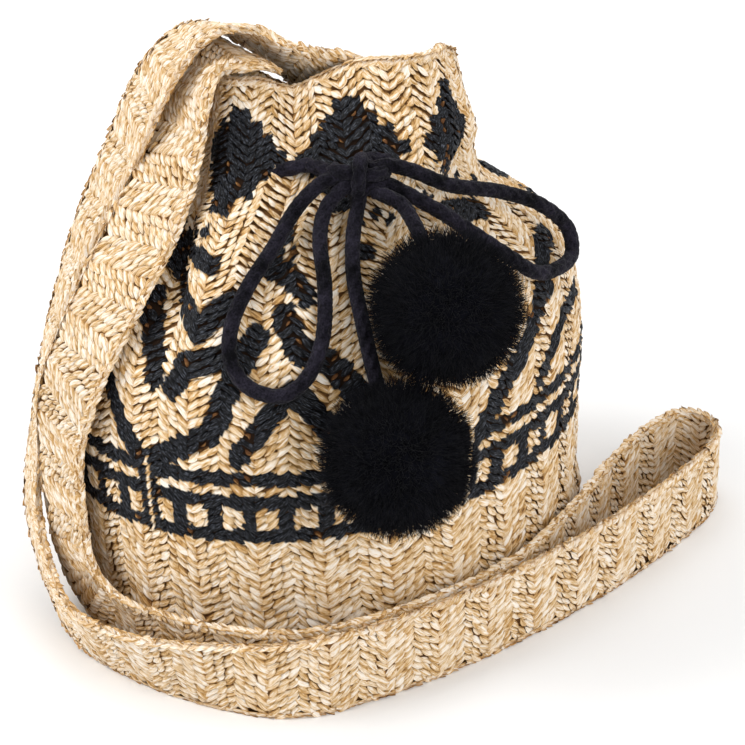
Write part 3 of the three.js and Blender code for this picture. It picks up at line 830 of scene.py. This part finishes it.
place, side, rise, out, pitch = wall_frame(angles, heights)
size = np.clip(pitch * COLUMN_DEG / COLUMN_WIDTH, 0.55, 1.15)
slant = lean * (GRAIN_SLANT + COLLAR_LEAN * (1 - size)) + random.normal(0, 4, len(angles))
along, across = turned(side, rise, slant)
length = GRAIN_LENGTH * (0.35 + 0.65 * size) * random.normal(1, 0.1, len(angles))
width = GRAIN_WIDTH * (0.85 + 0.15 * size) * random.normal(1, 0.12, len(angles))
width = width * np.clip(row_gap(angles, heights) / row_gap(0, heights), 1, 1.5)
tone = random.normal(-0.11, 0.08, len(angles))
ink = grain_depth(angles, heights, slant, length, width, pitch, rise)
fleck = (random.random(len(angles)) < FLECK_SHARE) & (ink.min(axis=1) > 0)
tone[fleck] = FLECK_TONE
ink[fleck] = -INK_LIMIT
width[fleck] *= FLECK_SIZE
length[fleck] *= FLECK_SIZE
place = place + out * (random.normal(0, 0.14, len(angles)) - FLECK_SINK * fleck)[:, None]
for part, chosen in enumerate((heights < WEAVE_SPLIT_Z, heights >= WEAVE_SPLIT_Z)):
    straw_piece(
        "bag_wall_weave_%d" % (part + 1), place[chosen], along[chosen], across[chosen], out[chosen],
        length[chosen], width[chosen], tone[chosen], ink[chosen], random,
    )
inside = heights > INSIDE_WEAVE_Z
lining = straw_piece(
    "bag_wall_inside_weave", place[inside] - out[inside] * INSIDE_DEPTH, along[inside], across[inside],
    -out[inside], length[inside], width[inside], tone[inside], ink[inside], random,
)
RIM_GRAIN_DEG = 1.9
RIM_GRAIN_LENGTH = 6.4
RIM_GRAIN_WIDTH = 2.9
RIM_ROLLS = ((0.4, 55, 32), (-0.6, 10, 28), (-0.6, 100, 28))
rim_angles = np.arange(-180, 180, RIM_GRAIN_DEG)
place, side, rise, out, pitch = wall_frame(rim_angles, np.full(len(rim_angles), RIM_Z - 1.0))
edge_tone = random.normal(-0.12, 0.05, len(rim_angles))
NATURAL = np.full((1, 1), -INK_LIMIT)
edge_length = np.full(len(rim_angles), RIM_GRAIN_LENGTH)
edge_width = np.full(len(rim_angles), RIM_GRAIN_WIDTH)
for part, (lift, roll, slant) in enumerate(RIM_ROLLS):
    tip = math.radians(roll)
    face = out * math.cos(tip) + rise * math.sin(tip)
    back = rise * math.cos(tip) - out * math.sin(tip)
    along, across = turned(side, back, random.normal(slant, 5, len(rim_angles)))
    straw_piece(
        "bag_rim_edge_%d" % (part + 1), place - out * 1.2 + face * 1.0 + rise * lift, along, across, face,
        edge_length, edge_width, edge_tone, NATURAL, random,
    )


# Bag base. A flat oval of the same straw, worked round and round from the middle and joined to the
# foot of the wall; it is seen only from below and, deep inside, through the mouth.
BASE_INSET = 2.4
BASE_GROUND_Z = 1.0
BASE_ROUND_MM = 6.0
BASE_COLUMNS = 72
BASE_RINGS = 12
BASE_FACES = ((-1, 0.55), (1, 1.75))


def base_point(angle, share):
    """A place in the bottom panel: an angle round it and a share of the way out from its middle."""
    edge = wall_point(angle, np.zeros(len(angle)))
    middle = np.array((SECTIONS["x"][0], SECTIONS["y"][0], 0))
    outward = edge - middle
    reach = np.linalg.norm(outward, axis=1, keepdims=True)
    return middle + outward * (1 - BASE_INSET / reach) * share[:, None]


bm, around, share = cloth_grid(BASE_COLUMNS, BASE_RINGS)
points = base_point(around * 360 - 180, share)
points[:, 2] = BASE_GROUND_Z
move_points(bm, points)
bmesh.ops.remove_doubles(bm, verts=bm.verts, dist=JOIN_DISTANCE)
bmesh.ops.recalc_face_normals(bm, faces=bm.faces)
base = new_piece("bag_base_ground", bm, STRAW_GROUND_PAINTED_SHADE)
thick = base.modifiers.new("cloth_thickness", "SOLIDIFY")
thick.thickness = GROUND_THICK * MM
thick.offset = 0
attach(base, "root")
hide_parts("bag_base")
rounds = np.arange(ROW_PITCH / 2, SECTIONS["short"][0] - BASE_INSET, ROW_PITCH) / SECTIONS["short"][0]
counts = np.rint(2 * math.pi * rounds * SECTIONS["long"][0] / BASE_ROUND_MM).astype(int)
share = np.repeat(rounds, counts)
turn = np.concatenate([np.linspace(-180, 180, count, endpoint=False) for count in counts])
turn = turn + random.normal(0, 0.4, len(turn))
place = base_point(turn, share)
way = unit(base_point(turn + 0.5, share) - base_point(turn - 0.5, share))
base_weave = []
for part, (facing, height) in enumerate(BASE_FACES):
    out = np.tile((0.0, 0.0, facing), (len(turn), 1))
    along, across = turned(way, np.cross(out, way), random.normal(24, 5, len(turn)))
    base_weave.append(straw_piece(
        "bag_base_weave_%d" % (part + 1), place + np.array((0, 0, height)), along, across, out,
        GRAIN_LENGTH * random.normal(1, 0.08, len(turn)), GRAIN_WIDTH * random.normal(1.1, 0.1, len(turn)),
        random.normal(-0.15, 0.06, len(turn)), NATURAL, random,
    ))
for piece in base_weave:
    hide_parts("bag_base")


# Strap. A band of the same herringbone straw, 35 mm wide and about 1.4 m long, joined to the inside
# of the neck. It stands up over the rim, falls to the floor on its edge and lies round the bag.
STRAP_WIDTH = 35
STRAP_STEP = 3.0
STRAP_GROUND_THICK = 1.0
STRAP_GROUND_INSET = 1.2
STRAP_SEGMENTS = 6
STRAP_ROW_STEPS = 24
STRAP_LOOK = 3
STRAP_FLOOR_Z = 18
STRAP_ROWS = [
    ((42, 16, 191), (0, -0.25, 1)), ((34.5, 15, 195), (0, -0.3, 0.95)), ((26, 13.5, 202), (0, -0.38, 0.9)),
    ((16, 12.5, 209), (0, -0.45, 0.88)), ((5, 11, 216), (0, -0.46, 0.86)),
    ((-6, 10, 220.5), (0.05, -0.6, 0.78)), ((-17, 11, 225.8), (0.05, -0.7, 0.66)),
    ((-28, 14.5, 232), (0.1, -0.77, 0.58)),
    ((-41, 13, 237), (0.18, -0.88, 0.36)), ((-55, 8.5, 233), (0.25, -0.94, 0.16)),
    ((-68.5, 3, 216), (0.3, -0.95, 0)), ((-80.8, 1.5, 188), (0.3, -0.95, 0)),
    ((-98.6, -8.5, 150), (0.17, -0.96, 0)), ((-111, -14, 110), (0.12, -1, 0)),
    ((-118, -18, 72), (0.18, -0.95, 0.2)), ((-120.5, -33, 44), (0.2, -0.8, 0.5)),
    ((-112, -60, 25), (0.1, -0.7, 0.7)), ((-98, -88, 17.5), (0, -0.6, 0.8)),
    ((-72, -109, 16.5), (0, -0.45, 0.9)), ((-42, -121, 17.5), (0, -0.2, 0.97)),
]
STRAP_ON_FLOOR = [
    (-9, -124), (30, -106), (73, -75), (115, -36), (148, 3), (165, 30), (166, 48), (154, 55), (138, 42),
    (120, 14), (105, -17), (76, -63), (33, -98), (-8, -116),
]
STRAP_RETURN = [
    ((-42, -110, 18), (0, -0.15, 1)), ((-70, -93, 18), (0, -0.35, 0.9)),
    ((-88, -79, 22), (0.2, -0.55, 0.8)),
    ((-100, -69, 38), (0.4, -0.75, 0.5)), ((-104.5, -64, 64), (0.5, -0.85, 0.1)),
    ((-105, -62, 95), (0.55, -0.85, 0)), ((-98, -66, 124), (0.6, -0.8, 0)),
    ((-84.5, -58, 152), (0.68, -0.73, 0)), ((-69.5, -37, 177), (0.7, -0.71, 0)),
    ((-59.3, -19, 199), (0.52, -0.86, 0)), ((-53.5, -10, 215), (0.42, -0.88, 0.12)),
    ((-48, -2, 226.5), (0.3, -0.9, 0.15)), ((-39, 5, 229), (0.3, -0.9, 0.04)),
    ((-31, 9.5, 226.5), (0.3, -0.88, 0.22)), ((-26, 12.5, 221.5), (0.3, -0.82, 0.42)),
]


def through_rows(rows, steps):
    """A smooth run through rows of numbers, a few steps to each."""
    ends = np.vstack([rows[:1], rows, rows[-1:]])
    part = (np.arange(steps) / steps)[:, None]
    pieces = []
    for a, b, c, d in zip(ends, ends[1:], ends[2:], ends[3:]):
        bend = 2 * a - 5 * b + 4 * c - d
        twist = -a + 3 * b - 3 * c + d
        pieces.append(0.5 * (2 * b + (c - a) * part + bend * part ** 2 + twist * part ** 3))
    return np.vstack(pieces + [rows[-1:]])


floor_rows = [((x, y, STRAP_FLOOR_Z), (0, 0, 1)) for x, y in STRAP_ON_FLOOR]
strap_rows = np.array([at + across for at, across in STRAP_ROWS + floor_rows + STRAP_RETURN], float)
strap_run = through_rows(strap_rows, STRAP_ROW_STEPS)
strap_middle = strap_run[:, :3]
strap_reach = reach_along(strap_middle)
strap_length = strap_reach[-1]


def strap_frame(reach, across):
    """Place, way along, way across and way out of the band at a length and a place across it."""
    def read(values, at):
        return np.column_stack([np.interp(at, strap_reach, values[:, axis]) for axis in range(3)])
    middle = read(strap_middle, reach)
    along = unit(read(strap_middle, reach + STRAP_LOOK) - read(strap_middle, reach - STRAP_LOOK))
    side = read(strap_run[:, 3:], reach)
    side = unit(side - along * (side * along).sum(-1, keepdims=True))
    return middle + side * across[:, None], along, side, np.cross(along, side)


bm, run, across = cloth_grid(int(strap_length / STRAP_STEP), STRAP_SEGMENTS)
ground_width = STRAP_WIDTH - 2 * STRAP_GROUND_INSET
place, along, side, out = strap_frame(run * strap_length, (across - 0.5) * ground_width)
move_points(bm, place)
band = new_piece("strap_ground", bm, STRAW_GROUND_PAINTED_SHADE)
thick = band.modifiers.new("cloth_thickness", "SOLIDIFY")
thick.thickness = STRAP_GROUND_THICK * MM
thick.offset = 0
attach(band, "root")
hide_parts("strap")
STRAP_COLUMN = 12.5
STRAP_ROW_PITCH = 3.2
STRAP_GRAIN_WIDTH = 2.7
STRAP_FACE_HEIGHT = 1.15
strap_columns = int(strap_length / STRAP_COLUMN)
strap_rows_across = int(STRAP_WIDTH / STRAP_ROW_PITCH) + 5
for part, turn in enumerate((1, -1)):
    column, row, step = [
        values.ravel()
        for values in np.meshgrid(
            np.arange(strap_columns), np.arange(strap_rows_across), np.arange(GRAINS_IN_ROW), indexing="ij"
        )
    ]
    share = (step + 0.5) / GRAINS_IN_ROW
    lean = np.where(column % 2 == 0, 1.0, -1.0)
    reach = (column + share) * STRAP_COLUMN + random.normal(0, 0.25, column.shape)
    off = (row - (strap_rows_across - 1) / 2) * STRAP_ROW_PITCH + lean * ROW_RISE * (share - 0.5)
    off = off + random.normal(0, 0.2, column.shape)
    kept = np.abs(off) < STRAP_WIDTH / 2 - STRAP_GROUND_INSET
    place, along, side, out = strap_frame(reach[kept], off[kept])
    count = kept.sum()
    face = out * turn
    way, over = turned(along, side, lean[kept] * GRAIN_SLANT + random.normal(0, 5, count))
    straw_piece(
        "strap_weave_%d" % (part + 1),
        place + face * (STRAP_FACE_HEIGHT + random.normal(0, 0.12, count)[:, None]),
        way, over, face,
        GRAIN_LENGTH * random.normal(1, 0.09, count), STRAP_GRAIN_WIDTH * random.normal(1, 0.1, count),
        random.normal(-0.09, 0.07, count), NATURAL, random,
    )
STRAP_EDGE_STEP = 3.4
STRAP_EDGE_INSET = 1.3
STRAP_EDGE_HEIGHT = 0.9
STRAP_EDGE_ROLL = 0.75
edge_reach = np.arange(2, strap_length - 2, STRAP_EDGE_STEP)
for part, (edge, roll) in enumerate(((1, 1), (1, -1), (-1, 1), (-1, -1))):
    count = len(edge_reach)
    off = np.full(count, edge * (STRAP_WIDTH / 2 - STRAP_EDGE_INSET))
    place, along, side, out = strap_frame(edge_reach, off)
    face = unit(side * edge + out * roll * STRAP_EDGE_ROLL)
    way, over = turned(along, np.cross(face, along), random.normal(24, 6, count) * roll * edge)
    straw_piece(
        "strap_edge_%d" % (part + 1), place + face * STRAP_EDGE_HEIGHT, way, over, face,
        GRAIN_LENGTH * random.normal(1, 0.08, count), GRAIN_WIDTH * random.normal(1.05, 0.08, count),
        random.normal(-0.08, 0.06, count), NATURAL, random,
    )


# Drawstring. The same braided cord run round the neck through the cloth, outside and inside by
# turns, and drawn up tight; both ends meet in the knot at the front.
HOLE_ANGLES = [18, 100, 126, 150, 204, 235, 285, 348]
HOLE_TURN = 7
KNOT_ANGLE = 4
KNOT_SPAN = 8
SEAT_GAP = 0.5
WALL_THICK = 2.5
NECK_POINTS = 161
neck_angles = np.linspace(KNOT_ANGLE + KNOT_SPAN, KNOT_ANGLE + 360 - KNOT_SPAN, NECK_POINTS)
under = np.zeros(NECK_POINTS)
for count, hole in enumerate(HOLE_ANGLES):
    under = under + smooth(0.5 + (neck_angles - hole) / (2 * HOLE_TURN)) * (1 if count % 2 == 0 else -1)
outside = CORD_RADIUS + SEAT_GAP
offset = outside - (outside * 2 + WALL_THICK) * under
place, side, rise, out, pitch = wall_frame(neck_angles, np.full(NECK_POINTS, float(NECK_Z)))
reach_in = np.array((CORD_RADIUS, 0, 0))
neck_points = np.vstack([
    KNOT_CENTRE + reach_in, place + out * offset[:, None], KNOT_CENTRE - reach_in,
])
neck = braided_cord("braided_drawstring_neck", even_run(neck_points, CORD_STEP), CORD_COTTON)
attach(neck, "root")
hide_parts("drawstring_neck")


# Studio. A plain pale floor and soft light from big panels: the main one high on the left, weaker
# ones at the front right and overhead, and an even glow all round.
FLOOR_HALF = 4
LIGHT_AIM = np.array((0, 0, 0.1))
GLOW = 0.7
bm = bmesh.new()
bmesh.ops.create_grid(bm, x_segments=1, y_segments=1, size=FLOOR_HALF)
floor_paint = bpy.data.materials.new("pale_floor")
floor_paint.use_nodes = True
floor_cover = floor_paint.node_tree.nodes["Principled BSDF"]
floor_cover.inputs["Base Color"].default_value = (0.92, 0.92, 0.92, 1)
floor_cover.inputs["Roughness"].default_value = 0.9
floor = new_piece("studio_floor", bm, floor_paint)
PANELS = [
    ("main_panel", (-1.5, -0.35, 1.5), 1.0, 23),
    ("front_panel", (1.1, -1.3, 1.1), 1.2, 14),
    ("top_panel", (0.1, 0.5, 1.8), 1.2, 8),
]
for name, place, size, power in PANELS:
    light = bpy.data.lights.new(name, "AREA")
    light.size = size
    light.energy = power
    lamp = bpy.data.objects.new(name, light)
    lamp.location = place
    aim = LIGHT_AIM - np.array(place)
    lamp.rotation_euler = (
        math.acos(-aim[2] / np.linalg.norm(aim)), 0, math.atan2(aim[1], aim[0]) - math.pi / 2,
    )
    bpy.context.collection.objects.link(lamp)
world = bpy.data.worlds.new("studio_glow")
world.use_nodes = True
backdrop = world.node_tree.nodes["Background"]
backdrop.inputs["Color"].default_value = (1, 1, 1, 1)
backdrop.inputs["Strength"].default_value = GLOW
bpy.context.scene.world = world
